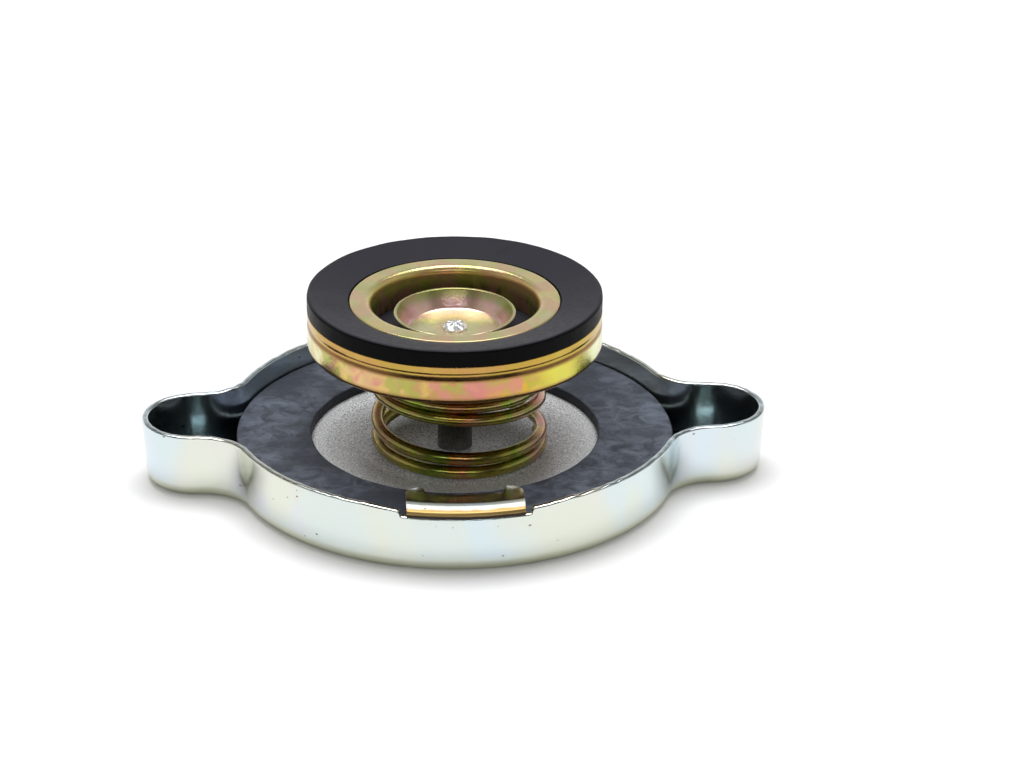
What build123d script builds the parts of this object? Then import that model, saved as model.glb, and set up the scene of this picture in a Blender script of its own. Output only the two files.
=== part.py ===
from build123d import *
import math
import os

# Radiator cap, lying on its crown with the valve side up.
# Origin: the stem's axis at the underside of the crown. +Z runs up the stem, away from the crown,
# +X from the middle to one ear, and the two tabs are at -Y and +Y. All lengths are millimetres.

# Shell, one pressed sheet: crown, wall, two hollow ears, two tabs folded inward
shell_sheet = 0.9
shell_radius = 32.7         # outside of the round wall at its rim
shell_height = 9.8
wall_lean = 0.5             # how much the wall draws in between the rim and the crown
crown_bend = 1.9            # outside radius of the bend from the crown to the wall
ear_reach = 44.9            # from the axis to an ear's tip, at the rim
ear_half_width = 7.8
ear_root_share = 0.574      # radius of the hollow curve at its root, as a share of its length

# Dimple in the middle of the crown, where the post is riveted
dimple_radius = 9.5         # at its mouth, in the crown's outside
dimple_depth = 2.9
dimple_slope = 1.6          # how much narrower its floor is than its mouth
dimple_bend = 0.8

# Tabs that grip under the filler neck
tab_width = 16.2
tab_reach = 7.3             # from the wall's outside to the ends of its two lobes
tab_hollow = 1.5            # depth of the recess between the lobes
hollow_width = 11.2
hollow_round = 0.45         # the lobes' corners on the recess's side
tab_corner = 1.9            # the lobes' outer corners
tab_bend = 1.3              # outside radius of the fold
tab_rise = 0.1              # top of the tab above the rim
fold_swell = 0.3            # how far the fold stands out from the wall
fold_straight = 0.05        # height of the swollen face below the fold, down to the relief cuts
fold_crease = 0.45          # how far the swelling runs down the wall below them
fold_round = 0.3
notch_width = 1.0           # relief cut in the rim beside the fold
notch_round = 0.3
rim_dip = 0.4               # how far the rim sinks towards a relief cut
rim_dip_length = 5.0
shoulder_round = 0.5        # where the sinking rim turns down into the cut

# Diaphragm disc and neck gasket
disc_sheet = 0.4
disc_rise = 1.0             # how much higher its outer flat lies than its middle
disc_flat_radius = 13.6     # end of the flat middle
disc_seat_margin = 1.9      # from the gasket's bore inward to the start of the outer flat
disc_bend = 2.0
gasket_thickness = 1.5
gasket_bore_share = 0.652   # its inside radius as a share of its outside radius
gasket_room = 0.12          # from the gasket's edge to the shell's wall
gasket_round = 0.15

# Post, riveted through the disc and the crown
post_radius = 2.5
spigot_radius = 1.9         # thinner end that passes through the sheets, and leaves a shoulder
rivet_radius = 4.2
rivet_height = 1.7
rivet_round = 1.2
head_radius = 4.5
head_height = 0.8
head_round = 0.3
seat_room = 0.05            # small gap between faces of pieces that move apart

# Valve: cup, seal and ferrule
valve_travel = 4.0          # how far the valve can be pushed towards the crown
travel_room = 0.15          # left between the post's head and the vacuum pin at the end of that travel
cup_sheet = 0.8
cup_radius = 21.0
cup_rim_z = 25.8
cup_floor_z = 20.1          # underside of the cup's floor, where the spring pushes
cup_bend = 1.5
groove_depth = 0.1          # shallow line rolled into the cup's wall, which locks the support in it
groove_round = 1.2
groove_below_rim = 1.4
hat_radius = 6.2            # outside of the neck in the floor that runs on the post
hat_bend = 1.1
hat_root = 0.5              # where the neck leaves the floor, on the outside
vent_radius = 1.1           # air holes in the side of the hat
vent_count = 4
running_room = 0.08         # radial gap of a sliding fit
support_below_rim = 0.8     # from the cup's rim down to the support's top, which carries the rubber
support_sheet = 0.7
support_bend = 1.2
seal_edge = 2.5             # thickness of the rubber where it shows above the cup's rim
seal_fall = 1.3             # how much lower its top is at the ferrule
seal_round = 0.3
seal_play = 0.15            # gap between the rubber's slope and the ferrule's edge
ferrule_sheet = 0.6
ferrule_bore = 11.9         # radius of its open middle
ferrule_flange = 15.0       # outer radius of its flange
flange_round = 0.25
lip_round = 0.75            # rolled edge between flange and tube
press_room = 0.03           # radial gap of pieces pressed together
touching = 0.001            # points nearer than this count as one

# Vacuum valve in the middle of the cup
plate_sheet = 0.4
plate_holes = 4
plate_hole_radius = 1.2
plate_hole_ring = 3.3
vacuum_seat_thickness = 0.7
vacuum_seat_bore = 5.6
vacuum_travel = 1.5
dish_sheet = 0.5
dish_flat_radius = 6.75     # inside, where the flat ends
dish_rim_radius = 9.0
dish_height = 3.1           # from the underside to the rim
dish_bend = 0.9
dish_lip = 0.57             # width of its rim, seen from above
dish_lip_round = 0.22
dish_draft = 0.35           # how much wider its underside is than the flat inside
pin_radius = 0.95
pin_head_radius = 1.75
pin_head_height = 0.95
pin_head_round = 0.65
pin_tail = 0.2              # staked end beyond the retainer
retainer_radius = 3.3
retainer_thickness = 0.5

# Springs: cut wire, left-hand wound
wire_radius = 0.935
coil_radius = 12.6          # outside of the pressure spring
end_turns = 0.25            # nearly flat first stretch
end_pitch = 0.1
lead_turns = 1.0            # stretch that leaves the first coil
lead_pitch = 2.5
open_turns = 1.0            # the one open coil
open_pitch = 5.75
closed_gap = 0.04           # between the closed coils near the valve
spring_start_angle = 12     # where the wire begins, from +X
vacuum_wire_radius = 0.2
vacuum_coil_radius = 2.7
vacuum_turns = 3
spring_spare = 0.2          # play left between its coils when the vacuum valve is fully open

# Levels that follow from the sizes above, from the crown up
dimple_top = dimple_depth + shell_sheet
disc_top = dimple_top + disc_sheet
gasket_base = disc_top + disc_rise
gasket_top = gasket_base + gasket_thickness
tab_top = shell_height + tab_rise
tab_foot = tab_top - tab_bend - fold_straight
cup_floor_top = cup_floor_z + cup_sheet
plate_base = cup_floor_top
seat_base = plate_base + plate_sheet
seat_top = seat_base + vacuum_seat_thickness
dish_base = seat_top + seat_room
dish_floor = dish_base + dish_sheet
seal_top = cup_rim_z + seal_edge
flange_top = seal_top - seal_fall
flange_base = flange_top - ferrule_sheet
support_top = cup_rim_z - support_below_rim
support_bore = ferrule_bore + ferrule_sheet + press_room
cup_inside = cup_radius - cup_sheet
plate_radius = support_bore - press_room
vacuum_room = vacuum_travel + (vacuum_turns + 1) * 2 * vacuum_wire_radius + spring_spare
retainer_top = plate_base - vacuum_room
retainer_base = retainer_top - retainer_thickness
pin_end = retainer_base - pin_tail
head_top = pin_end - valve_travel - travel_room
head_base = head_top - head_height
hat_end = head_base - seat_room - cup_sheet


def wall_radius(z):
    """Outside radius of the round wall at height z."""
    return shell_radius - wall_lean * (1 - z / shell_height)


def wall_inside(z):
    return wall_radius(z) - shell_sheet


def turned(points, rounds=()):
    """Solid turned about the stem's axis from an (r, z) outline; rounds are (corner number, radius)."""
    face = make_face(Polyline(*points, close=True))
    for number, radius in rounds:
        corner = face.vertices().sort_by_distance((*points[number], 0))[0]
        face = fillet(corner, radius)
    return revolve(Plane.XZ * face, Axis.Z)


def ring(inner, outer, low, high):
    return turned([(inner, low), (outer, low), (outer, high), (inner, high)])


def drill(radius, low, high):
    return Pos(0, 0, (low + high) / 2) * Cylinder(radius, high - low)


# Shell

def rim_outline():
    """Outside of the shell at its rim: a circle with two round-ended ears and hollow roots."""
    tip_centre = ear_reach - ear_half_width
    ears = Rectangle(2 * tip_centre, 2 * ear_half_width)
    tips = [Pos(side * tip_centre, 0) * Circle(ear_half_width) for side in (-1, 1)]
    outline = Circle(shell_radius) + ears + tips
    roots = [v for v in outline.vertices() if math.hypot(v.X, v.Y) < shell_radius + touching]
    return fillet(roots, ear_root_share * (ear_reach - shell_radius))


def drawn_block(outline, floor, bend):
    """Block under an outline at rim height, leaning in towards a rounded floor."""
    lean = math.degrees(math.atan2(wall_lean, shell_height))
    depth = shell_height - floor
    block = extrude(Pos(0, 0, shell_height) * outline, depth, dir=(0, 0, -1), taper=lean)
    return fillet(block.faces().sort_by(Axis.Z)[0].edges(), bend)


def dimple(outer_radius, depth, bend):
    """Round hump of the crown's dimple, standing on the crown's outside."""
    top = outer_radius - dimple_slope
    return turned([(0, 0), (outer_radius, 0), (top, depth), (0, depth)], [(2, bend)])


def tab_plan(near):
    """Outline of a tab from above, at +Y: two lobes whose ends are at y = near, and a recess between."""
    plan = Pos(0, near) * Rectangle(tab_width, 2 * tab_reach, align=(Align.CENTER, Align.MIN))
    plan = fillet(plan.vertices().sort_by(Axis.Y)[:2], tab_corner)
    depth = near + tab_hollow
    plan -= Circle(depth) & Rectangle(hollow_width, 2 * depth)
    lips = [plan.vertices().sort_by_distance((side * hollow_width / 2, near, 0))[0] for side in (-1, 1)]
    return fillet(lips, hollow_round)


def tab():
    """The tab at -Y: the wall's sheet folded inward, with the fold swollen outward."""
    outside = wall_radius(tab_foot)
    inside = outside - shell_sheet
    swollen = outside + fold_swell
    middle = outside - shell_sheet / 2
    crease = tab_foot - fold_crease
    tip = outside - tab_reach - shell_sheet
    under = tab_top - shell_sheet
    hook = [(inside, tab_foot), (middle, crease - shell_sheet / 2), (swollen, crease + fold_swell),
            (swollen, tab_top), (tip, tab_top), (tip, under), (inside, under)]
    band = turned(hook, [(2, fold_round), (3, tab_bend)])
    shape = extrude(tab_plan(outside - tab_reach), 2 * shell_height)
    return (band & shape).rotate(Axis.Z, 180)


def notches():
    """Gap in the rim round the tab's fold, with its two relief cuts and the rim that sinks to them."""
    foot = tab_width / 2 + notch_width
    side = shell_height - rim_dip
    end = foot + rim_dip_length
    above = shell_height + tab_rise
    right = [(foot, tab_foot), (foot, side), (end, shell_height), (end, above)]
    left = [(-x, z) for x, z in reversed(right)]
    face = make_face(Polyline(*right, *left, close=True))
    for sign in (-1, 1):
        face = fillet(face.vertices().sort_by_distance((sign * foot, tab_foot, 0))[:1], notch_round)
        face = fillet(face.vertices().sort_by_distance((sign * foot, side, 0))[:1], shoulder_round)
    block = extrude(Plane.XZ * face, shell_radius)
    return Pos(0, -ear_half_width, 0) * block


def make_shell():
    outline = rim_outline()
    inner = offset(outline, -shell_sheet)
    body = drawn_block(outline, 0, crown_bend) - drawn_block(inner, shell_sheet, crown_bend - shell_sheet)
    body += dimple(dimple_radius + shell_sheet, dimple_top, dimple_bend + shell_sheet)
    body -= dimple(dimple_radius, dimple_depth, dimple_bend)
    body -= drill(spigot_radius, 0, disc_top)
    cut = notches()
    for turn in (0, 180):
        body -= cut.rotate(Axis.Z, turn)
    for turn in (0, 180):
        body += tab().rotate(Axis.Z, turn)
    return body


# Disc, gasket and post

def gasket_edge():
    """Outside radius of the gasket and of the disc under it."""
    return wall_inside(gasket_base) - gasket_room


def gasket_bore():
    return gasket_bore_share * gasket_edge()


def make_spring_disc():
    edge = gasket_edge()
    seat = gasket_bore() - disc_seat_margin
    upper = gasket_base
    low = dimple_top
    points = [(spigot_radius, low), (disc_flat_radius, low), (seat, upper - disc_sheet),
              (edge, upper - disc_sheet), (edge, upper), (seat, upper),
              (disc_flat_radius, disc_top), (spigot_radius, disc_top)]
    return turned(points, [(corner, disc_bend) for corner in (1, 2, 5, 6)])


def make_neck_gasket():
    gasket = ring(gasket_bore(), gasket_edge(), gasket_base, gasket_top)
    return fillet(gasket.edges().filter_by(GeomType.CIRCLE).group_by(Axis.Z)[-1], gasket_round)


def make_post():
    rivet_low = dimple_depth - rivet_height
    points = [(0, rivet_low), (rivet_radius, rivet_low), (rivet_radius, dimple_depth),
              (spigot_radius, dimple_depth), (spigot_radius, disc_top), (post_radius, disc_top),
              (post_radius, head_base), (head_radius, head_base), (head_radius, head_top), (0, head_top)]
    return turned(points, [(1, rivet_round), (8, head_round)])


# Valve

def make_valve_cup():
    floor = cup_floor_top
    hat_in = hat_radius - cup_sheet
    bore = post_radius + running_room
    hat_floor = hat_end + cup_sheet
    points = [(bore, hat_end), (hat_radius, hat_end), (hat_radius, cup_floor_z), (cup_radius, cup_floor_z),
              (cup_radius, cup_rim_z), (cup_inside, cup_rim_z), (cup_inside, floor), (hat_in, floor),
              (hat_in, hat_floor), (bore, hat_floor)]
    rounds = [(1, hat_bend), (2, hat_root), (3, cup_bend), (6, cup_bend - cup_sheet),
              (7, hat_root + cup_sheet), (8, hat_bend - cup_sheet)]
    cup = turned(points, rounds)
    groove_ring = cup_radius - groove_depth + groove_round
    cup -= Pos(0, 0, cup_rim_z - groove_below_rim) * Torus(groove_ring, groove_round)
    vent_z = (hat_end + cup_floor_z) / 2
    vent = Pos(hat_radius, 0, vent_z) * Rotation(0, 90, 0) * Cylinder(vent_radius, 4 * cup_sheet)
    for i in range(vent_count):
        cup -= vent.rotate(Axis.Z, (i + 0.5) * 360 / vent_count)
    return cup


def make_seal_support():
    """Pressed ring of upside-down U section that stands in the cup and carries the rubber."""
    outer = cup_inside - press_room
    under = support_top - support_sheet
    foot = cup_floor_top + cup_bend
    bore = support_bore
    points = [(bore, cup_floor_top), (bore, support_top), (outer, support_top), (outer, foot),
              (outer - support_sheet, foot), (outer - support_sheet, under),
              (bore + support_sheet, under), (bore + support_sheet, cup_floor_top)]
    small = support_bend - support_sheet
    return turned(points, [(1, support_bend), (2, support_bend), (5, small), (6, small)])


def make_valve_seal():
    """Rubber ring that lies on the support and covers the cup's rim."""
    trough = cup_inside - press_room
    slope = ferrule_flange + seal_play
    points = [(support_bore, support_top), (trough, support_top), (trough, cup_rim_z),
              (cup_radius, cup_rim_z), (cup_radius, seal_top), (slope, flange_top), (slope, flange_base),
              (support_bore, flange_base)]
    return turned(points, [(4, seal_round), (7, lip_round - ferrule_sheet)])


def make_seal_ferrule():
    tube = ferrule_bore + ferrule_sheet
    points = [(ferrule_bore, seat_top), (tube, seat_top), (tube, flange_base), (ferrule_flange, flange_base),
              (ferrule_flange, flange_top), (ferrule_bore, flange_top)]
    return turned(points, [(2, lip_round - ferrule_sheet), (4, flange_round), (5, lip_round)])


def make_guide_plate():
    plate = ring(pin_radius + running_room, plate_radius, plate_base, seat_base)
    for i in range(plate_holes):
        hole = Pos(plate_hole_ring, 0, 0) * drill(plate_hole_radius, plate_base, seat_base)
        plate -= hole.rotate(Axis.Z, i * 360 / plate_holes)
    return plate


def make_vacuum_seat():
    return ring(vacuum_seat_bore, plate_radius, seat_base, seat_top)


def make_vacuum_disc():
    rim = dish_base + dish_height
    points = [(pin_radius, dish_base), (dish_flat_radius + dish_draft, dish_base), (dish_rim_radius, rim),
              (dish_rim_radius - dish_lip, rim), (dish_flat_radius, dish_floor), (pin_radius, dish_floor)]
    rounds = [(1, dish_bend), (2, dish_lip_round), (3, dish_lip_round), (4, dish_bend - dish_sheet)]
    return turned(points, rounds)


def make_vacuum_pin():
    pin_top = dish_floor + pin_head_height
    points = [(0, pin_end), (pin_radius, pin_end), (pin_radius, dish_floor), (pin_head_radius, dish_floor),
              (pin_head_radius, pin_top), (0, pin_top)]
    return turned(points, [(4, pin_head_round)])


def make_vacuum_retainer():
    return ring(pin_radius, retainer_radius, retainer_base, retainer_top)


# Springs

def coil(radius, wire, low, stretches):
    """Round wire wound left-handed about the axis from height low; stretches are (turns, pitch)."""
    path = []
    height = low
    angle = 0
    for turns, pitch in stretches:
        rise = turns * pitch
        part = Helix(pitch, rise, radius, center=(0, 0, 0), lefthand=True)
        path.append(Pos(0, 0, height) * part.rotate(Axis.Z, angle))
        height += rise
        angle -= turns * 360
    start = Plane(origin=path[0] @ 0, z_dir=path[0] % 0)
    return sweep(start * Circle(wire), path=Wire(path), is_frenet=True)


def make_pressure_spring():
    low = disc_top + seat_room + wire_radius
    high = cup_floor_z - seat_room - wire_radius
    closed_pitch = 2 * wire_radius + closed_gap
    used = end_turns * end_pitch + lead_turns * lead_pitch + open_turns * open_pitch
    closed_turns = (high - low - used) / closed_pitch
    stretches = [(end_turns, end_pitch), (lead_turns, lead_pitch), (open_turns, open_pitch),
                 (closed_turns, closed_pitch)]
    spring = coil(coil_radius - wire_radius, wire_radius, low, stretches)
    return spring.rotate(Axis.Z, spring_start_angle)


def make_vacuum_spring():
    low = retainer_top + seat_room + vacuum_wire_radius
    high = plate_base - seat_room - vacuum_wire_radius
    pitch = (high - low) / vacuum_turns
    return coil(vacuum_coil_radius - vacuum_wire_radius, vacuum_wire_radius, low, [(vacuum_turns, pitch)])


pieces = {
    "shell": make_shell,
    "spring_disc": make_spring_disc,
    "neck_gasket": make_neck_gasket,
    "post": make_post,
    "pressure_spring": make_pressure_spring,
    "valve_cup": make_valve_cup,
    "seal_support": make_seal_support,
    "valve_seal": make_valve_seal,
    "seal_ferrule": make_seal_ferrule,
    "guide_plate": make_guide_plate,
    "vacuum_seat": make_vacuum_seat,
    "vacuum_disc": make_vacuum_disc,
    "vacuum_pin": make_vacuum_pin,
    "vacuum_spring": make_vacuum_spring,
    "vacuum_retainer": make_vacuum_retainer,
}

os.makedirs("parts", exist_ok=True)
for name, make in pieces.items():
    shape = make()
    export_step(shape, f"parts/{name}.step")
    print(name, round(shape.volume, 1))
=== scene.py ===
import bpy
import bmesh
import math
from mathutils import Matrix, Vector, noise


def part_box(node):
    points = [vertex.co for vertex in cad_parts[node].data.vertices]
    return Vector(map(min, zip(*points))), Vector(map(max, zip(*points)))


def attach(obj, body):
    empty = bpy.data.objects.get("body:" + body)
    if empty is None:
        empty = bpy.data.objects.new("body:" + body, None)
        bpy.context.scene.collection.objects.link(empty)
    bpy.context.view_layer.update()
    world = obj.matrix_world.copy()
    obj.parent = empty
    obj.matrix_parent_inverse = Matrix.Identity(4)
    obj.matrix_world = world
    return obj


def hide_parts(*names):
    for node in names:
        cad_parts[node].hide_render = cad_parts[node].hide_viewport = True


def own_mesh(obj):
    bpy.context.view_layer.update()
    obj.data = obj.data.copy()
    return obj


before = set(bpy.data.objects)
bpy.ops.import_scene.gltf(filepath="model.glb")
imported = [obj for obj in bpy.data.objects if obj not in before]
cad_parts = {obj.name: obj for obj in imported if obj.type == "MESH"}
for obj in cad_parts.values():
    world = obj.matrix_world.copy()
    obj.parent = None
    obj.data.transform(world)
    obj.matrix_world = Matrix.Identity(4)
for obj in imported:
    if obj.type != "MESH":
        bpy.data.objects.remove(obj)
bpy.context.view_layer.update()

mm = 0.001  # lengths in the dictionaries are in millimetres, unless a note says metres
weldDistance = 1e-7  # metres
sharpAngle = 50  # degrees; an edge that turns more stays sharp


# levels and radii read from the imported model, in millimetres
def lowOf(node):
    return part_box(node)[0][2] / mm


def topOf(node):
    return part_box(node)[1][2] / mm


def radiusOf(node):
    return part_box(node)[1][1] / mm


# angles from 0 to 90 degrees
def quarterTurn(steps):
    return [math.pi / 2 * k / steps for k in range(steps + 1)]


# a line with rounded corners; corners are (radius, height, rounding)
def roundedLine(corners, closed=True, arcSteps=5, support=0.12):
    mostReach = 0.49  # share of a side that one corner may take
    points = []
    count = len(corners)
    for i, (r, z, bend) in enumerate(corners):
        here = Vector((r, z))
        if bend <= 0 or (not closed and i in (0, count - 1)):
            points.append(here)
            continue
        before = Vector(corners[i - 1][:2]) - here
        after = Vector(corners[(i + 1) % count][:2]) - here
        half = before.angle(after) / 2
        reach = min(bend / math.tan(half), before.length * mostReach, after.length * mostReach)
        room = reach + 3 * support  # a side longer than this gets a point that keeps it straight
        radius = reach * math.tan(half)
        middle = here + (before.normalized() + after.normalized()).normalized() * (radius / math.sin(half))
        start = here + before.normalized() * reach
        end = here + after.normalized() * reach
        if before.length > room:
            points.append(start + before.normalized() * support)
        spoke = start - middle
        turn = spoke.angle_signed(end - middle)
        for k in range(arcSteps + 1):
            step = spoke.copy()
            step.rotate(Matrix.Rotation(-turn * k / arcSteps, 2))
            points.append(middle + step)
        if after.length > room:
            points.append(end + after.normalized() * support)
    return points


def unevenness(x, y, z, size, seed=0.0):
    return noise.noise(Vector((x / size, y / size, z / size + seed)))


def finishMesh(name, bm):
    bmesh.ops.remove_doubles(bm, verts=bm.verts, dist=weldDistance)
    bmesh.ops.recalc_face_normals(bm, faces=bm.faces)
    for face in bm.faces:
        face.smooth = True
    for edge in bm.edges:
        if len(edge.link_faces) == 2:
            edge.smooth = edge.calc_face_angle(0) < math.radians(sharpAngle)
    mesh = bpy.data.meshes.new(name)
    bm.to_mesh(mesh)
    bm.free()
    piece = bpy.data.objects.new(name, mesh)
    bpy.context.scene.collection.objects.link(piece)
    return piece


# joins rings of equally many vertices by four-sided faces
def bridgeRings(bm, rings, closed, slotOf=None):
    pairs = list(zip(rings, rings[1:]))
    if closed:
        pairs.append((rings[-1], rings[0]))
    for index, (a, b) in enumerate(pairs):
        for k in range(len(a)):
            n = (k + 1) % len(a)
            face = bm.faces.new((a[k], a[n], b[n], b[k]))
            if slotOf:
                face.material_index = slotOf(index)


# how far apart the ups and downs of an uneven turned edge lie, in millimetres
waverForm = {"radiusSize": 2.5, "heightSize": 4.0, "heightSeed": 9.0}


# turns a section about the stem's axis; waver makes its edges slightly uneven
def turnedPiece(name, corners, closed=True, around=192, arcSteps=5, waver=0.0, shape=None):
    bm = bmesh.new()
    rings = []
    for point in roundedLine(corners, closed, arcSteps):
        ring = []
        for k in range(around):
            angle = 2 * math.pi * k / around
            r, z = point.x, point.y
            if waver:
                r += waver * unevenness(r * math.cos(angle), r * math.sin(angle), z, waverForm["radiusSize"])
                z += waver * unevenness(r * math.cos(angle), r * math.sin(angle), z,
                                        waverForm["heightSize"], waverForm["heightSeed"])
            if shape:
                r, z = shape(r, z, angle)
            ring.append(bm.verts.new((r * math.cos(angle) * mm, r * math.sin(angle) * mm, z * mm)))
        rings.append(ring)
    bridgeRings(bm, rings, closed)
    return finishMesh(name, bm)


# shell: one pressed sheet; columnStep is in degrees
shellForm = {
    "sheet": 0.9, "radius": 32.7, "lean": 0.5, "bend": 1.9, "earHalf": 7.8, "rootRound": 7.0,
    "rimRound": 0.3, "rimBurr": 0.14, "burrSize": 0.9, "burrLean": 0.5, "burrDrop": 0.3, "flatInset": 5.0,
    "flatRadius": 14.0, "dimpleMouth": 9.5, "dimpleSlope": 1.6, "dimpleDepth": 2.9, "dimpleBend": 0.8,
    "mouthRound": 0.4, "hole": 1.9, "notchHalf": 9.1, "notchFoot": 8.55, "notchRound": 0.3,
    "shoulderRound": 0.5, "rimDip": 0.4, "dipLength": 5.0, "columnStep": 1.2, "columnGap": 0.2,
    "cornerSteps": 6, "tipSteps": 16, "rootSteps": 12, "notchSteps": 4, "shoulderSteps": 5,
}
# its tabs: two lobes with a recess between them, drooping a little towards the fold
tabForm = {
    "half": 8.1, "rise": 0.1, "reach": 7.3, "hollow": 2.5, "hollowHalf": 5.6, "hollowRound": 0.5,
    "rootRound": 0.8, "corner": 1.9, "fold": 1.1, "swell": 0.3, "swellRound": 0.3, "creaseDrop": 0.1,
    "overlap": 0.05, "edgeRound": 0.25, "edgeSteps": 2, "droop": 0.4, "droopReach": 1.6, "droopRound": 1.8,
    "cornerSteps": 8, "hollowSteps": 4, "rootSteps": 5, "recessSteps": 9, "foldSteps": 8,
    "foldSupport": 0.05,
}
rimLevel = topOf("shell") - tabForm["rise"]
wallFinish, floorFinish, tabFinish = 0, 1, 2  # in the order in which the shell is given its finishes


# the sheet's top edge sinks to a relief cut on both sides of each tab
def rimHeight(x):
    form = shellForm
    x = abs(x)
    side = rimLevel - form["rimDip"]
    foot = form["notchFoot"]
    if x <= form["notchHalf"]:
        into = max(0.0, x - form["notchHalf"] + form["notchRound"])
        return foot + form["notchRound"] - math.sqrt(form["notchRound"] ** 2 - into ** 2)
    beyond = x - form["notchHalf"]
    level = side + form["rimDip"] * min(1.0, beyond / form["dipLength"])
    into = max(0.0, form["shoulderRound"] - beyond)
    return level - form["shoulderRound"] + math.sqrt(form["shoulderRound"] ** 2 - into ** 2)


# one quarter of the outline as (centre, arc radius, direction, bulge), from the ear's tip to the tab
def quarterOutline():
    form = shellForm
    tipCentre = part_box("shell")[1][0] / mm - form["earHalf"]
    rootY = form["earHalf"] + form["rootRound"]
    rootX = math.sqrt((form["radius"] + form["rootRound"]) ** 2 - rootY ** 2)
    joint = math.atan2(rootY, rootX)
    columns = []
    for angle in quarterTurn(form["tipSteps"]):
        columns.append((Vector((tipCentre, 0)), form["earHalf"], angle, 1))
    for k in range(form["rootSteps"]):
        angle = -math.pi / 2 - (math.pi / 2 - joint) * k / form["rootSteps"]
        columns.append((Vector((rootX, rootY)), form["rootRound"], angle, -1))
    # across the round part, columns stand closer together at the relief cut
    places = [form["notchHalf"] - form["notchRound"] * (1 - math.sin(angle))
              for angle in quarterTurn(form["notchSteps"])]
    places += [form["notchHalf"] + form["shoulderRound"] * (1 - math.cos(angle))
               for angle in quarterTurn(form["shoulderSteps"])[1:]]
    places.append(form["notchHalf"] + form["dipLength"])
    gap = form["columnGap"]
    low, high = places[0] - gap, places[-2] + gap
    edge = form["radius"] * math.cos(joint)
    for angle in quarterTurn(int(90 / form["columnStep"]))[1:]:
        x = form["radius"] * math.cos(angle)
        if x < edge - gap and not low < x < high:
            places.append(x)
    places.append(edge)
    for x in sorted(places, reverse=True):
        angle = math.acos(max(0.0, min(1.0, x / form["radius"])))
        columns.append((Vector((0, 0)), form["radius"], angle, 1))
    return columns


def outlineColumns():
    quarter = quarterOutline()
    mirrored = [(Vector((-c.x, c.y)), r, math.pi - a, bulge) for c, r, a, bulge in reversed(quarter[:-1])]
    half = quarter + mirrored
    lower = [(Vector((c.x, -c.y)), r, -a, bulge) for c, r, a, bulge in reversed(half[1:-1])]
    return half + lower


def wallInset(z):
    return shellForm["lean"] * (1 - z / rimLevel)


# section through the wall at one column: (inset from the rim outline, height)
def wallSection(height):
    form = shellForm
    sheet = form["sheet"]
    corners = [(-form["flatInset"], 0, 0), (-wallInset(0), 0, form["bend"]),
               (-wallInset(height), height, form["rimRound"]),
               (-wallInset(height) - sheet, height, form["rimRound"]),
               (-wallInset(sheet) - sheet, sheet, form["bend"] - sheet), (-form["flatInset"], sheet, 0)]
    return roundedLine(corners, False, form["cornerSteps"])


def addWall(bm):
    form = shellForm
    sheet = form["sheet"]
    top = form["dimpleMouth"] - form["dimpleSlope"]
    mouth, depth, bend = form["dimpleMouth"], form["dimpleDepth"], form["dimpleBend"]
    under = roundedLine([(form["hole"], depth, 0), (top, depth, bend), (mouth, 0, form["mouthRound"]),
                         (form["flatRadius"], 0, 0)], False)
    over = roundedLine([(form["flatRadius"], sheet, 0), (mouth + sheet, sheet, form["mouthRound"]),
                        (top + sheet, depth + sheet, bend + sheet), (form["hole"], depth + sheet, 0)], False)
    columns = []
    for centre, radius, angle, bulge in outlineColumns():
        out = Vector((math.cos(angle), math.sin(angle)))
        edge = centre + out * radius
        spoke = edge.normalized()
        height = rimHeight(edge.x) if abs(edge.y) > form["earHalf"] and centre.length == 0 else rimLevel
        column = [(spoke * r, z) for r, z in under]
        for inset, z in wallSection(height):
            nearRim = max(0.0, z - height + form["rimRound"]) / form["rimRound"]
            burr = form["rimBurr"] * nearRim * unevenness(edge.x, edge.y, z, form["burrSize"])
            inset -= abs(burr) * form["burrLean"]
            place = centre + out * (radius + bulge * inset)
            column.append((place, z + burr - form["burrDrop"] * form["rimBurr"] * nearRim))
        column += [(spoke * r, z) for r, z in over]
        columns.append([bm.verts.new((*(place * mm), z * mm)) for place, z in column])
    rings = list(zip(*columns))
    bendRings = form["cornerSteps"] + 4  # the inner bend's arc with its straight ends
    floorFrom = len(rings) - len(over) - bendRings
    bridgeRings(bm, rings, True, lambda index: (
        floorFinish if floorFrom <= index < len(rings) - 1 else wallFinish))


# edge of a tab seen from above, from one outer corner to the other; y is towards the axis
def tabEdge(near):
    form = tabForm
    right = []
    for angle in quarterTurn(form["cornerSteps"]):
        right.append((form["half"] - form["corner"] * (1 - math.cos(angle)),
                      near + form["corner"] * (1 - math.sin(angle))))
    lip = form["hollowHalf"] + form["hollowRound"]
    for angle in quarterTurn(form["hollowSteps"]):
        right.append((lip - form["hollowRound"] * math.sin(angle),
                      near + form["hollowRound"] * (1 - math.cos(angle))))
    recess = near + form["hollow"]
    root = form["rootRound"]
    arcStart = form["hollowHalf"] - root
    arcLevel = math.sqrt(recess ** 2 - arcStart ** 2)
    for angle in quarterTurn(form["rootSteps"])[:-1]:
        right.append((form["hollowHalf"] - root * (1 - math.cos(angle)),
                      arcLevel - root * (1 - math.sin(angle))))
    for k in range(form["recessSteps"] + 1):
        x = arcStart * (1 - k / form["recessSteps"])
        right.append((x, math.sqrt(recess ** 2 - x ** 2)))
    return [(-x, y) for x, y in right] + [(x, y) for x, y in reversed(right[:-1])]


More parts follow.
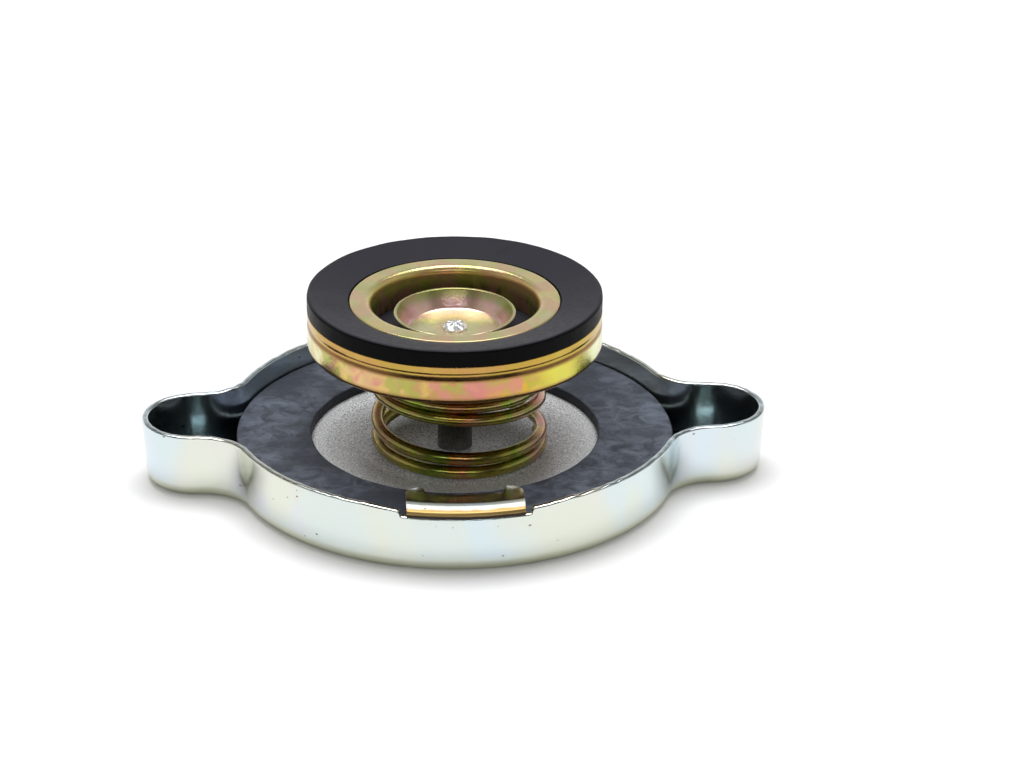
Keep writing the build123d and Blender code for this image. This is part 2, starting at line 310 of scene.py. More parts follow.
# the sheet carries on over a swollen fold into the tab, for the tab at -Y or, turned, at +Y
def addTab(bm, side):
    form = tabForm
    sheet = shellForm["sheet"]
    outside = shellForm["radius"] - wallInset(shellForm["notchFoot"])
    swollen = outside + form["swell"]
    top = rimLevel + form["rise"]
    crease = shellForm["notchFoot"] - form["creaseDrop"]
    flat = swollen - form["droopReach"]
    outer = roundedLine([(outside - form["overlap"], crease - form["overlap"], 0),
                         (swollen, crease + form["swell"], form["swellRound"]),
                         (swollen, top - form["droop"], form["fold"]), (flat, top, form["droopRound"]),
                         (flat - form["droopReach"] / 2, top, 0)],
                        False, form["foldSteps"], form["foldSupport"])
    inner = []
    for index, point in enumerate(outer):
        ahead = outer[min(index + 1, len(outer) - 1)] - outer[max(index - 1, 0)]
        inward = Vector((-ahead.y, ahead.x)).normalized()
        inner.append(Vector((point.x - sheet, point.y)) if index < 2 else point + inward * sheet)
    edge = tabEdge(outside - form["reach"])
    lengths = [0.0]
    for a, b in zip(edge, edge[1:]):
        lengths.append(lengths[-1] + (Vector(a) - Vector(b)).length)
    grids = []
    for line, level in ((outer, top), (inner, top - sheet)):
        grid = []
        for (x, y), length in zip(edge, lengths):
            foldX = form["half"] * (2 * length / lengths[-1] - 1)
            points = [(foldX, -math.sqrt(r ** 2 - foldX ** 2), z) for r, z in line]
            points.append((x, -y, level))
            grid.append([bm.verts.new((side * px * mm, side * py * mm, pz * mm)) for px, py, pz in points])
        grids.append(grid)
    over, under = grids
    faces = []
    for grid in grids:
        for a, b in zip(grid, grid[1:]):
            faces += [bm.faces.new((a[k], a[k + 1], b[k + 1], b[k])) for k in range(len(a) - 1)]
    for k in range(len(over) - 1):
        for row in (0, -1):
            faces.append(bm.faces.new((over[k][row], over[k + 1][row], under[k + 1][row], under[k][row])))
    for column in (0, -1):
        for k in range(len(over[0]) - 1):
            faces.append(bm.faces.new((over[column][k], over[column][k + 1], under[column][k + 1],
                                       under[column][k])))
    for face in faces:
        face.material_index = tabFinish
    bmesh.ops.recalc_face_normals(bm, faces=faces)
    edges = {e for f in faces for e in f.edges if e.calc_face_angle(0) > math.radians(sharpAngle)}
    bmesh.ops.bevel(bm, geom=list(edges), offset=form["edgeRound"] * mm, segments=form["edgeSteps"],
                    profile=0.5, affect="EDGES", clamp_overlap=True)


def makeShell():
    bm = bmesh.new()
    addWall(bm)
    for side in (1, -1):
        addTab(bm, side)
    return finishMesh("pressedShell", bm)


# springs: round wire wound left-handed, with flat cut ends
pressureCoil = {
    "wire": 0.935, "lowRadius": 12.75, "highRadius": 12.45, "lowShift": 0.65, "highShift": 0.4,
    "endTurns": 0.25, "endPitch": 0.1, "leadTurns": 1.15, "leadPitch": 2.15, "openTurns": 0.85,
    "openPitch": 6.85, "closedGap": 0.04, "startAngle": 12, "stepsPerTurn": 64, "sides": 20, "smooth": 0.12,
    "travel": 4.0,
}
vacuumCoil = {"wire": 0.2, "radius": 2.7, "turns": 3, "stepsPerTurn": 36, "sides": 10, "travel": 1.5}


def addWire(bm, path, wire, sides):
    rings = []
    for k, point in enumerate(path):
        along = (path[min(k + 1, len(path) - 1)] - path[max(k - 1, 0)]).normalized()
        across = Vector((point.x, point.y, 0)).normalized()
        rise = along.cross(across).normalized()
        across = rise.cross(along)
        rings.append([bm.verts.new((point + (across * math.cos(a) + rise * math.sin(a)) * wire) * mm)
                      for a in (2 * math.pi * s / sides for s in range(sides))])
    bridgeRings(bm, rings, False)
    bm.faces.new(rings[0])
    bm.faces.new(rings[-1])


def makePressureSpring():
    form = pressureCoil
    low = lowOf("pressure_spring") + form["wire"]
    high = topOf("pressure_spring") - form["wire"]
    stretches = [(form["endTurns"], form["endPitch"]), (form["leadTurns"], form["leadPitch"]),
                 (form["openTurns"], form["openPitch"])]
    used = sum(turns * pitch for turns, pitch in stretches)
    closedPitch = 2 * form["wire"] + form["closedGap"]
    stretches.append(((high - low - used) / closedPitch, closedPitch))

    def heightAt(turn):
        z = low
        for turns, pitch in stretches:
            z += max(0.0, min(turn, turns)) * pitch
            turn -= turns
        return z

    allTurns = sum(turns for turns, pitch in stretches)
    steps = int(allTurns * form["stepsPerTurn"])
    spread = (-1, -0.5, 0, 0.5, 1)  # each height is the mean of five near it, so that pitches blend
    path = []
    for k in range(steps + 1):
        turn = allTurns * k / steps
        reach = min(form["smooth"], turn, allTurns - turn)
        z = sum(heightAt(turn + reach * share) for share in spread) / len(spread)
        share = (z - low) / (high - low)
        radius = form["lowRadius"] + (form["highRadius"] - form["lowRadius"]) * share - form["wire"]
        shift = form["lowShift"] + (form["highShift"] - form["lowShift"]) * share
        angle = math.radians(form["startAngle"]) - 2 * math.pi * turn
        path.append(Vector((radius * math.cos(angle) + shift, radius * math.sin(angle), z)))
    bm = bmesh.new()
    addWire(bm, path, form["wire"], form["sides"])
    return finishMesh("pressureCoilWire", bm)


def makeVacuumSpring():
    form = vacuumCoil
    low = lowOf("vacuum_spring") + form["wire"]
    high = topOf("vacuum_spring") - form["wire"]
    steps = form["turns"] * form["stepsPerTurn"]
    radius = form["radius"] - form["wire"]
    path = []
    for k in range(steps + 1):
        angle = -2 * math.pi * form["turns"] * k / steps
        z = low + (high - low) * k / steps
        path.append(Vector((radius * math.cos(angle), radius * math.sin(angle), z)))
    bm = bmesh.new()
    addWire(bm, path, form["wire"], form["sides"])
    return finishMesh("vacuumCoilWire", bm)


# cup: its wall has a soft rolled groove, its neck four air holes
cupForm = {
    "sheet": 0.8, "bend": 1.5, "grooveBelowRim": 1.3, "grooveAbove": 0.35, "grooveBelow": 1.0,
    "grooveDepth": 0.22, "neck": 6.2, "neckBend": 1.1, "neckRoot": 0.5, "bore": 2.58, "rimRound": 0.15,
    "waver": 0.03, "floorHeight": 20.1, "holes": 4, "holeRadius": 1.1, "holeSides": 32, "wallSteps": 24,
    "wallMargin": 0.3, "around": 240, "arcSteps": 7,
}


def makeCup():
    form = cupForm
    low, rim, edge = lowOf("valve_cup"), topOf("valve_cup"), radiusOf("valve_cup")
    sheet, floor = form["sheet"], form["floorHeight"]
    groove, margin = rim - form["grooveBelowRim"], form["wallMargin"]
    wallLow = floor + form["bend"] + margin
    wall = [(edge, wallLow + (rim - margin - wallLow) * k / form["wallSteps"], 0)
            for k in range(form["wallSteps"] + 1)]

    def grooved(r, z, angle):
        width = form["grooveAbove"] if z > groove else form["grooveBelow"]
        away = min(1.0, abs(z - groove) / width)
        if r > edge - margin:
            r -= form["grooveDepth"] * 0.5 * (1 + math.cos(math.pi * away))
        return r, z

    corners = [(form["bore"], low, 0), (form["neck"], low, form["neckBend"]),
               (form["neck"], floor, form["neckRoot"]), (edge, floor, form["bend"])] + wall
    corners += [(edge, rim, form["rimRound"]), (edge - sheet, rim, form["rimRound"]),
                (edge - sheet, floor + sheet, form["bend"] - sheet),
                (form["neck"] - sheet, floor + sheet, form["neckRoot"] + sheet),
                (form["neck"] - sheet, low + sheet, form["neckBend"] - sheet),
                (form["bore"], low + sheet, 0)]
    cup = turnedPiece("pressedCup", corners, around=form["around"], arcSteps=form["arcSteps"],
                      waver=form["waver"], shape=grooved)
    drills = bmesh.new()
    radius = form["holeRadius"] * mm
    for k in range(form["holes"]):
        turn = Matrix.Rotation(2 * math.pi * (k + 0.5) / form["holes"], 4, "Z")
        place = Matrix.Translation((form["neck"] * mm, 0, (low + floor) / 2 * mm))
        bmesh.ops.create_cone(drills, cap_ends=True, segments=form["holeSides"], radius1=radius,
                              radius2=radius, depth=4 * sheet * mm,
                              matrix=turn @ place @ Matrix.Rotation(math.pi / 2, 4, "Y"))
    cutter = finishMesh("cupDrills", drills)
    holes = cup.modifiers.new("holes", "BOOLEAN")
    holes.object = cutter
    holes.operation = "DIFFERENCE"
    bpy.context.view_layer.update()
    pierced = bpy.data.meshes.new_from_object(cup.evaluated_get(bpy.context.evaluated_depsgraph_get()))
    cup.modifiers.clear()
    cup.data = pierced
    bpy.data.objects.remove(cutter)
    return cup


# rubber: edges a little softer and less even than the solids' edges
gasketForm = {"bore": 20.7, "round": 0.3, "waver": 0.05}
sealForm = {
    "edgeHeight": 2.475, "edgeRound": 0.38, "fall": 1.3, "bore": 12.53, "slope": 15.15, "trough": 20.17,
    "flange": 0.6, "smallRound": 0.1, "lipRound": 0.15, "waver": 0.05,
}


def makeGasket():
    form = gasketForm
    low, top, edge = lowOf("neck_gasket"), topOf("neck_gasket"), radiusOf("neck_gasket")
    bore, corner = form["bore"], form["round"]
    corners = [(bore, low, 0), (edge, low, 0), (edge, top, corner), (bore, top, corner)]
    return turnedPiece("gasketRing", corners, waver=form["waver"])


# its top falls from the outer edge to the ferrule, and its foot lies on the support inside the cup
def makeSeal():
    form = sealForm
    rim, edge, base = topOf("valve_cup"), radiusOf("valve_seal"), lowOf("valve_seal")
    top = rim + form["edgeHeight"]
    flange = top - form["fall"]
    under = flange - form["flange"]
    return turnedPiece("sealRing", [
        (form["bore"], base, 0), (form["trough"], base, 0), (form["trough"], rim, 0),
        (edge, rim, form["smallRound"]), (edge, top, form["edgeRound"]),
        (form["slope"], flange, form["smallRound"]), (form["slope"], under, 0),
        (form["bore"], under, form["lipRound"])], waver=form["waver"])


# ferrule, dish and pin of the valve's middle
ferruleForm = {
    "bore": 11.9, "flange": 15.0, "sheet": 0.6, "lip": 1.0, "edge": 0.25, "cornerRound": 0.1,
    "rootRound": 0.15, "arcSteps": 8, "waver": 0.025,
}
dishForm = {
    "hole": 0.95, "flat": 6.75, "sheet": 0.5, "draft": 0.35, "lip": 0.57, "lipRound": 0.22,
    "outerBend": 0.9, "innerBend": 0.6, "arcSteps": 6, "waver": 0.02,
}
pinForm = {
    "shaft": 0.95, "head": 1.75, "crown": 1.15, "headHeight": 0.95, "headSide": 0.3, "sideRound": 0.12,
    "crownDrop": 0.05, "crownRound": 0.3, "rings": (0.5, 0.38, 0.26, 0.14, 0), "rays": 6, "rayDepth": 0.3,
    "crush": 0.14, "crushSize": 0.6, "stakedAbove": 0.9, "around": 72,
}


def makeFerrule():
    form = ferruleForm
    low, top = lowOf("seal_ferrule"), topOf("seal_ferrule")
    under = top - form["sheet"]
    tube = form["bore"] + form["sheet"]
    corner = form["cornerRound"]
    return turnedPiece("rolledFerrule", [
        (form["bore"], low, corner), (tube, low, corner), (tube, under, form["rootRound"]),
        (form["flange"], under, corner), (form["flange"], top, form["edge"]),
        (form["bore"], top, form["lip"])], arcSteps=form["arcSteps"], waver=form["waver"])


def makeDish():
    form = dishForm
    low, top, rim = lowOf("vacuum_disc"), topOf("vacuum_disc"), radiusOf("vacuum_disc")
    floor = low + form["sheet"]
    return turnedPiece("vacuumDish", [
        (form["hole"], low, 0), (form["flat"] + form["draft"], low, form["outerBend"]),
        (rim, top, form["lipRound"]), (rim - form["lip"], top, form["lipRound"]),
        (form["flat"], floor, form["innerBend"]), (form["hole"], floor, 0)],
        arcSteps=form["arcSteps"], waver=form["waver"])


def makePin():
    form = pinForm
    end, top = lowOf("vacuum_pin"), topOf("vacuum_pin")
    base = top - form["headHeight"]

    # rays punched into the head, and a little unevenness where it was crushed
    def staked(r, z, angle):
        if z < base + form["headSide"] * form["stakedAbove"]:
            return r, z
        ray = 0.5 + 0.5 * math.cos(form["rays"] * angle)
        ringShare = math.sin(math.pi * min(1.0, r / form["head"]))
        z -= form["rayDepth"] * ray * ringShare
        crushed = unevenness(r * math.cos(angle), r * math.sin(angle), 0, form["crushSize"])
        z -= form["crush"] * (0.5 + crushed)
        return r, z

    inner = [(share * form["head"], top, 0) for share in form["rings"]]
    return turnedPiece("stakedPin", [
        (0, end, 0), (form["shaft"], end, 0), (form["shaft"], base, 0), (form["head"], base, 0),
        (form["head"], base + form["headSide"], form["sideRound"]),
        (form["crown"], top - form["crownDrop"], form["crownRound"])] + inner,
        closed=False, around=form["around"], shape=staked)


# shader helpers
def newMaterial(name):
    material = bpy.data.materials.new(name)
    material.use_nodes = True
    tree = material.node_tree
    tree.nodes.clear()
    output = tree.nodes.new("ShaderNodeOutputMaterial")
    shader = tree.nodes.new("ShaderNodeBsdfPrincipled")
    tree.links.new(shader.outputs["BSDF"], output.inputs["Surface"])
    coords = tree.nodes.new("ShaderNodeTexCoord")
    return material, tree, shader, coords.outputs["Object"]


def addGroup(tree, group, values, links):
    node = tree.nodes.new("ShaderNodeGroup")
    node.node_tree = group
    for key, value in values.items():
        node.inputs[key].default_value = value
    for key, source in links.items():
        tree.links.new(source, node.inputs[key])
    return node


def newGroup(name, inputs, outputs):
    group = bpy.data.node_groups.new(name, "ShaderNodeTree")
    for label, kind, value in inputs:
        socket = group.interface.new_socket(label, in_out="INPUT", socket_type="NodeSocket" + kind)
        if value is not None:
            socket.default_value = value
    for label, kind in outputs:
        group.interface.new_socket(label, in_out="OUTPUT", socket_type="NodeSocket" + kind)
    return group, group.nodes.new("NodeGroupInput").outputs, group.nodes.new("NodeGroupOutput").inputs


def mathNode(tree, operation, a, b=None):
    node = tree.nodes.new("ShaderNodeMath")
    node.operation = operation
    for socket, value in zip(node.inputs, (a, b)):
        if value is None:
            continue
        if isinstance(value, (int, float)):
            socket.default_value = value
        else:
            tree.links.new(value, socket)
    return node.outputs[0]


def mixColors(tree, factor, a, b):
    node = tree.nodes.new("ShaderNodeMix")
    node.data_type = "RGBA"
    for index, value in ((0, factor), (6, a), (7, b)):
        socket = node.inputs[index]
        if isinstance(value, (int, float)):
            socket.default_value = value
        elif isinstance(value, tuple):
            socket.default_value = value if len(value) == 4 else (*value, 1)
        else:
            tree.links.new(value, socket)
    return node.outputs[2]


def noiseNode(tree, vector, scale, detail=3.0, roughness=0.5, distortion=0.0):
    node = tree.nodes.new("ShaderNodeTexNoise")
    tree.links.new(vector, node.inputs["Vector"])
    for key, value in (("Scale", scale), ("Detail", detail), ("Roughness", roughness),
                       ("Distortion", distortion)):
        if isinstance(value, (int, float)):
            node.inputs[key].default_value = value
        else:
            tree.links.new(value, node.inputs[key])
    return node.outputs["Fac"]


def rangeNode(tree, value, low, high, toLow=0.0, toHigh=1.0):
    node = tree.nodes.new("ShaderNodeMapRange")
    node.interpolation_type = "SMOOTHSTEP"
    for index, item in enumerate((value, low, high, toLow, toHigh)):
        if isinstance(item, (int, float)):
            node.inputs[index].default_value = item
        else:
            tree.links.new(item, node.inputs[index])
    return node.outputs[0]


def rangeLinear(tree, value, low, high):
    node = tree.nodes.new("ShaderNodeMapRange")
    tree.links.new(value, node.inputs[0])
    node.inputs[1].default_value = low
    node.inputs[2].default_value = high
    return node.outputs[0]


# a distance that drifts either way over the surface
def wanderNode(tree, place, scale, reach):
    centred = mathNode(tree, "SUBTRACT", noiseNode(tree, place, scale), 0.5)
    return mathNode(tree, "MULTIPLY", centred, reach * mm)


def stretched(tree, vector, scale):
    node = tree.nodes.new("ShaderNodeVectorMath")
    node.operation = "MULTIPLY"
    tree.links.new(vector, node.inputs[0])
    node.inputs[1].default_value = scale
    return node.outputs[0]


# three soft tints drifting over a plated surface
def makeTintGroup():
    group, given, out = newGroup("plateTints", [
        ("Vector", "Vector", None), ("Scale", "Float", 90.0), ("Base", "Color", (0.7, 0.6, 0.35, 1)),
        ("Tint A", "Color", (0.8, 0.4, 0.4, 1)), ("Tint B", "Color", (0.4, 0.6, 0.2, 1)),
        ("Tint C", "Color", (0.9, 0.8, 0.5, 1)), ("Amount", "Float", 0.8)], [("Color", "Color")])
    color = given["Base"]
    offsets = {"Tint C": (7.3, 5.11, -7.3), "Tint B": (3.1, 2.17, -3.1), "Tint A": (0, 0, 0)}
    for label, offset in offsets.items():
        shift = group.nodes.new("ShaderNodeVectorMath")
        shift.operation = "ADD"
        group.links.new(given["Vector"], shift.inputs[0])
        shift.inputs[1].default_value = offset
        field = noiseNode(group, shift.outputs[0], given["Scale"], detail=2.5, roughness=0.55,
                          distortion=0.6)
        mask = mathNode(group, "MULTIPLY", rangeNode(group, field, low=0.47, high=0.6), given["Amount"])
        color = mixColors(group, mask, color, given[label])
    group.links.new(color, out["Color"])
    return group


# small scattered spots, as pits and dirt leave on plate
def makeSpotGroup():
    group, given, out = newGroup("scatteredSpots", [
        ("Vector", "Vector", None), ("Scale", "Float", 400.0), ("Size", "Float", 0.1),
        ("Share", "Float", 0.1)], [("Mask", "Float")])
    cells = group.nodes.new("ShaderNodeTexVoronoi")
    group.links.new(given["Vector"], cells.inputs["Vector"])
    group.links.new(given["Scale"], cells.inputs["Scale"])
    parts = group.nodes.new("ShaderNodeSeparateColor")
    group.links.new(cells.outputs["Color"], parts.inputs[0])
    chosen = mathNode(group, "LESS_THAN", parts.outputs[0], given["Share"])
    size = mathNode(group, "MULTIPLY", parts.outputs[1], given["Size"])
    softEdge = 0.03
    dot = rangeNode(group, cells.outputs["Distance"], mathNode(group, "ADD", size, softEdge), size)
    group.links.new(mathNode(group, "MULTIPLY", dot, chosen), out["Mask"])
    return group


# fine uneven grain as a height
def makeGrainGroup():
    group, given, out = newGroup("fineGrain", [
        ("Vector", "Vector", None), ("Scale", "Float", 800.0), ("Coarse Share", "Float", 0.3)],
        [("Height", "Float")])
    fine = noiseNode(group, given["Vector"], given["Scale"], detail=3.0, roughness=0.6)
    coarseShare = 0.12
    coarseScale = mathNode(group, "MULTIPLY", given["Scale"], coarseShare)
    coarse = noiseNode(group, given["Vector"], coarseScale, detail=2.0, roughness=0.5)
    weighted = mathNode(group, "MULTIPLY", coarse, given["Coarse Share"])
    group.links.new(mathNode(group, "ADD", fine, weighted), out["Height"])
    return group


# soft pale rubbed patches
def makeScuffGroup():
    group, given, out = newGroup("rubbedPatches", [
        ("Vector", "Vector", None), ("Scale", "Float", 60.0), ("Cover", "Float", 0.5)],
        [("Mask", "Float")])
    broad = noiseNode(group, given["Vector"], given["Scale"], detail=3.0, roughness=0.6, distortion=0.4)
    fineTimes, softness = 5.0, 0.12
    fineScale = mathNode(group, "MULTIPLY", given["Scale"], fineTimes)
    fine = noiseNode(group, given["Vector"], fineScale, detail=4.0, roughness=0.7, distortion=0.8)
    limit = mathNode(group, "SUBTRACT", 1.0, given["Cover"])
    patch = rangeNode(group, broad, mathNode(group, "SUBTRACT", limit, softness),
                      mathNode(group, "ADD", limit, softness))
    broken = rangeNode(group, fine, low=0.3, high=0.7)
    group.links.new(mathNode(group, "MULTIPLY", patch, broken), out["Mask"])
    return group


# direction round the stem's axis, with no seam, and distance from it
def makeAroundGroup():
    group, given, out = newGroup("aroundAxis", [("Vector", "Vector", None)],
                                 [("Around", "Vector"), ("Radius", "Float")])
    flat = stretched(group, given["Vector"], (1, 1, 0))
    unit = group.nodes.new("ShaderNodeVectorMath")
    unit.operation = "NORMALIZE"
    group.links.new(flat, unit.inputs[0])
    length = group.nodes.new("ShaderNodeVectorMath")
    length.operation = "LENGTH"
    group.links.new(flat, length.inputs[0])
    group.links.new(unit.outputs[0], out["Around"])
    group.links.new(length.outputs["Value"], out["Radius"])
    return group


tintGroup = makeTintGroup()
spotGroup = makeSpotGroup()
grainGroup = makeGrainGroup()
scuffGroup = makeScuffGroup()
aroundGroup = makeAroundGroup()
print("shader groups made")


# grain of each kind of surface: its size, how it changes the roughness, and its bump, deep in metres
grains = {
    "zinc": {"scale": 900.0, "coarse": 1.2, "low": 0.5, "high": 1.6, "smooth": 0.8, "rough": 1.4,
             "bump": 0.08, "depth": 0.0002},
    "yellow": {"scale": 1100.0, "coarse": 0.7, "low": 0.4, "high": 1.3, "smooth": 0.8, "rough": 1.4,
               "bump": 0.1, "depth": 0.0002},
    "rubber": {"scale": 1100.0, "coarse": 0.5, "low": 0.3, "high": 1.2, "smooth": 0.85, "rough": 1.3,
               "depth": 0.0003},
    "steel": {"coarse": 0.4, "low": 0.3, "high": 1.1, "smooth": 0.7, "rough": 1.3, "depth": 0.0002},
}


# gives a shader its colour, its grain, to which rays may be added, and its roughness, which the grain
# makes uneven where it is one number
def finishSurface(tree, shader, place, color, roughness, kind, rays=None):
    grain = addGroup(tree, grainGroup, {"Scale": kind["scale"], "Coarse Share": kind["coarse"]},
                     {"Vector": place}).outputs[0]
    if isinstance(roughness, float):
        roughness = rangeNode(tree, grain, kind["low"], kind["high"], roughness * kind["smooth"],
                              roughness * kind["rough"])
    tree.links.new(color, shader.inputs["Base Color"])
    tree.links.new(roughness, shader.inputs["Roughness"])
    bump = tree.nodes.new("ShaderNodeBump")
    bump.inputs["Strength"].default_value = kind["bump"]
    bump.inputs["Distance"].default_value = kind["depth"]
    tree.links.new(mathNode(tree, "ADD", grain, rays) if rays else grain, bump.inputs["Height"])
    tree.links.new(bump.outputs["Normal"], shader.inputs["Normal"])


def rampNode(tree, value, stops):
    node = tree.nodes.new("ShaderNodeValToRGB")
    marks = node.color_ramp.elements
    while len(marks) < len(stops):
        marks.new(0.5)
    for mark, (place, color) in zip(marks, stops):
        mark.position = place
        mark.color = (*color, 1)
    tree.links.new(value, node.inputs[0])
    return node.outputs[0]


def splitPlace(tree, place):
    node = tree.nodes.new("ShaderNodeSeparateXYZ")
    tree.links.new(place, node.inputs[0])
    return node.outputs


# shell: bright zinc with a clear, faintly coloured passivate, turning yellower near the foot of the wall as
# a painted reflection of the floor's shadow; the folds are golden with painted shade at their crease, and
# the floor inside is darker with painted shade
brightZincLook = {
    "base": (0.73, 0.80, 0.77), "blue": (0.68, 0.81, 0.88), "cream": (0.80, 0.80, 0.66),
    "lilac": (0.76, 0.75, 0.82), "tintScale": 55.0, "tintAmount": 0.6, "roughness": 0.15,
    "tintStretch": (1, 1, 0.4), "footShadeReflection": (0.74, 0.76, 0.60), "footShadeBelow": 2.1, "footShadeFull": 0.4,
    "footShadeScale": 90.0, "footShadeReach": 1.2, "pitColor": (0.20, 0.18, 0.14), "pitScale": 800.0,
    "pitShare": 0.5, "pitSize": 0.1, "pitStretch": (0.6, 0.6, 1),
}
foldLook = {
    "clean": 9.82, "gold": (0.40, 0.27, 0.10), "goldLevel": 9.62, "creaseShade": (0.04, 0.03, 0.025),
    "creaseShadeLevel": 9.1, "creaseShadeSoft": 0.12, "wanderScale": 500.0, "wanderReach": 0.2, "flat": 30.2,
    "turning": 30.8, "blurred": 0.42,
}
insideLook = {
    "base": (0.27, 0.32, 0.36), "tint": (0.20, 0.26, 0.31), "tintScale": 60.0, "tintFrom": 0.35,
    "tintFull": 0.65, "roughness": 0.2, "ear": (0.013, 0.017, 0.019), "earFloor": (0.19, 0.26, 0.28),
    "earFrom": 30.5, "earFull": 33.5, "riseFrom": 1.5, "riseFull": 3.5, "glint": (0.35, 0.52, 0.56),
    "glintAt": 36.6, "glintWidth": 1.5, "glintBreakScale": 1500.0, "glintBreakStretch": (1, 1, 0.5),
    "glintBreakFrom": 0.3, "glintBreakFull": 0.7, "glintBreakLow": 0.25,
}


def zincTints(tree, place, look):
    soft = stretched(tree, place, look["tintStretch"])
    tints = addGroup(tree, tintGroup, {
        "Scale": look["tintScale"], "Base": (*look["base"], 1), "Tint A": (*look["blue"], 1),
        "Tint B": (*look["cream"], 1), "Tint C": (*look["lilac"], 1), "Amount": look["tintAmount"]},
        {"Vector": soft})
    pits = addGroup(tree, spotGroup, {
        "Scale": look["pitScale"], "Share": look["pitShare"], "Size": look["pitSize"]},
        {"Vector": stretched(tree, place, look["pitStretch"])})
    return mixColors(tree, pits.outputs[0], tints.outputs[0], look["pitColor"])


def finishZinc(tree, shader, place, color, roughness):
    shader.inputs["Metallic"].default_value = 1.0
    finishSurface(tree, shader, place, color, roughness, grains["zinc"])


def makeBrightZinc():
    look = brightZincLook
    material, tree, shader, place = newMaterial("brightZinc")
    color = zincTints(tree, place, look)
    height = splitPlace(tree, place)["Z"]
    # painted reflection of the floor's shadow: the wall turns yellower towards its foot, below a wavering
    # level
    wander = noiseNode(tree, place, look["footShadeScale"])
    level = mathNode(tree, "ADD", height, mathNode(tree, "MULTIPLY", wander, -look["footShadeReach"] * mm))
    low = rangeNode(tree, level, look["footShadeFull"] * mm, look["footShadeBelow"] * mm, 1.0, 0.0)
    finishZinc(tree, shader, place, mixColors(tree, low, color, look["footShadeReflection"]), look["roughness"])
    return material


# clean on top, golden down the fold and with painted shade at its crease, with the turning part more matt
def makeFoldZinc():
    look = foldLook
    material, tree, shader, place = newMaterial("brightZincFold")
    color = zincTints(tree, place, brightZincLook)
    wander = wanderNode(tree, place, look["wanderScale"], look["wanderReach"])
    level = mathNode(tree, "ADD", splitPlace(tree, place)["Z"], wander)
    gold = rangeNode(tree, level, look["goldLevel"] * mm, look["clean"] * mm, 1.0, 0.0)
    color = mixColors(tree, gold, color, look["gold"])
    # painted shade: the crease at the fold's foot is darkened
    creaseShade = rangeNode(tree, level, (look["creaseShadeLevel"] - look["creaseShadeSoft"]) * mm,
                     (look["creaseShadeLevel"] + look["creaseShadeSoft"]) * mm, 1.0, 0.0)
    color = mixColors(tree, creaseShade, color, look["creaseShade"])
    around = addGroup(tree, aroundGroup, {}, {"Vector": place})
    matt = rangeNode(tree, around.outputs["Radius"], look["flat"] * mm, look["turning"] * mm,
                     brightZincLook["roughness"], look["blurred"])
    finishZinc(tree, shader, place, color, matt)
    return material


# the floor inside and the bend round it, painted darker than the outside as shade; in the ears the bend has
# more painted shade as it rises, with a faint painted glint
def makeInsideZinc():
    look = insideLook
    material, tree, shader, place = newMaterial("brightZincShadedInside")
    # painted shade: the floor inside and its bend are darker than the outside
    drift = rangeNode(tree, noiseNode(tree, place, look["tintScale"]), look["tintFrom"], look["tintFull"])
    color = mixColors(tree, drift, look["base"], look["tint"])
    aside = mathNode(tree, "ABSOLUTE", splitPlace(tree, place)["X"])
    # painted shade in the ears: their floor is darker, and their bend darker still as it rises
    ear = rangeNode(tree, aside, look["earFrom"] * mm, look["earFull"] * mm)
    risen = rangeNode(tree, splitPlace(tree, place)["Z"], look["riseFrom"] * mm, look["riseFull"] * mm)
    color = mixColors(tree, ear, color, mixColors(tree, risen, look["earFloor"], look["ear"]))
    # painted reflection: a faint pale glint, broken into streaks, on the ears' bend at one distance from the
    # middle
    away = mathNode(tree, "ABSOLUTE", mathNode(tree, "SUBTRACT", aside, look["glintAt"] * mm))
    glint = rangeNode(tree, away, 0.0, look["glintWidth"] * mm, 1.0, 0.0)
    glintBreaks = noiseNode(tree, stretched(tree, place, look["glintBreakStretch"]), look["glintBreakScale"])
    broken = rangeNode(tree, glintBreaks, look["glintBreakFrom"], look["glintBreakFull"], look["glintBreakLow"], 1.0)
    glint = mathNode(tree, "MULTIPLY", mathNode(tree, "MULTIPLY", glint, broken), risen)
    color = mixColors(tree, glint, color, look["glint"])
    finishZinc(tree, shader, place, color, look["roughness"])
    return material


# cup, ferrule, dish: yellow chromate that turns pink, green and straw; stops run over each piece
yellowTints = {
    "pink": (0.68, 0.25, 0.24), "green": (0.38, 0.44, 0.08), "straw": (0.74, 0.54, 0.15), "scale": 250.0,
    "amount": 0.8, "roughness": 0.2,
}
cupLook = {
    # the pale stop at the cup's far right is partly the plate's colour and partly a painted highlight
    "stops": ((0.0, (0.78, 0.80, 0.52)), (0.12, (0.78, 0.60, 0.24)), (0.28, (0.62, 0.30, 0.21)),
              (0.42, (0.50, 0.34, 0.09)), (0.54, (0.64, 0.24, 0.20)), (0.66, (0.74, 0.40, 0.06)),
              (0.76, (0.70, 0.55, 0.08)), (0.90, (0.72, 0.73, 0.12)), (1.0, (0.80, 0.86, 0.52))),
    # the brown is painted shade, in the groove and round the floor's bend
    "bandFrom": 24.15, "bandSoft": 0.15, "bandCover": 0.7, "band": (0.66, 0.42, 0.07), "grooveShadeFrom": 23.2,
    "grooveShadeTo": 23.8, "paintedShadeBrown": (0.32, 0.17, 0.06), "under": 20.7, "underTo": 21.4, "metallic": 1.0,
    "keep": 0.15, "calmFrom": 0.66, "calmTo": 0.8, "calmKeep": 0.75, "wanderScale": 160.0,
    "wanderReach": 14.0,
}
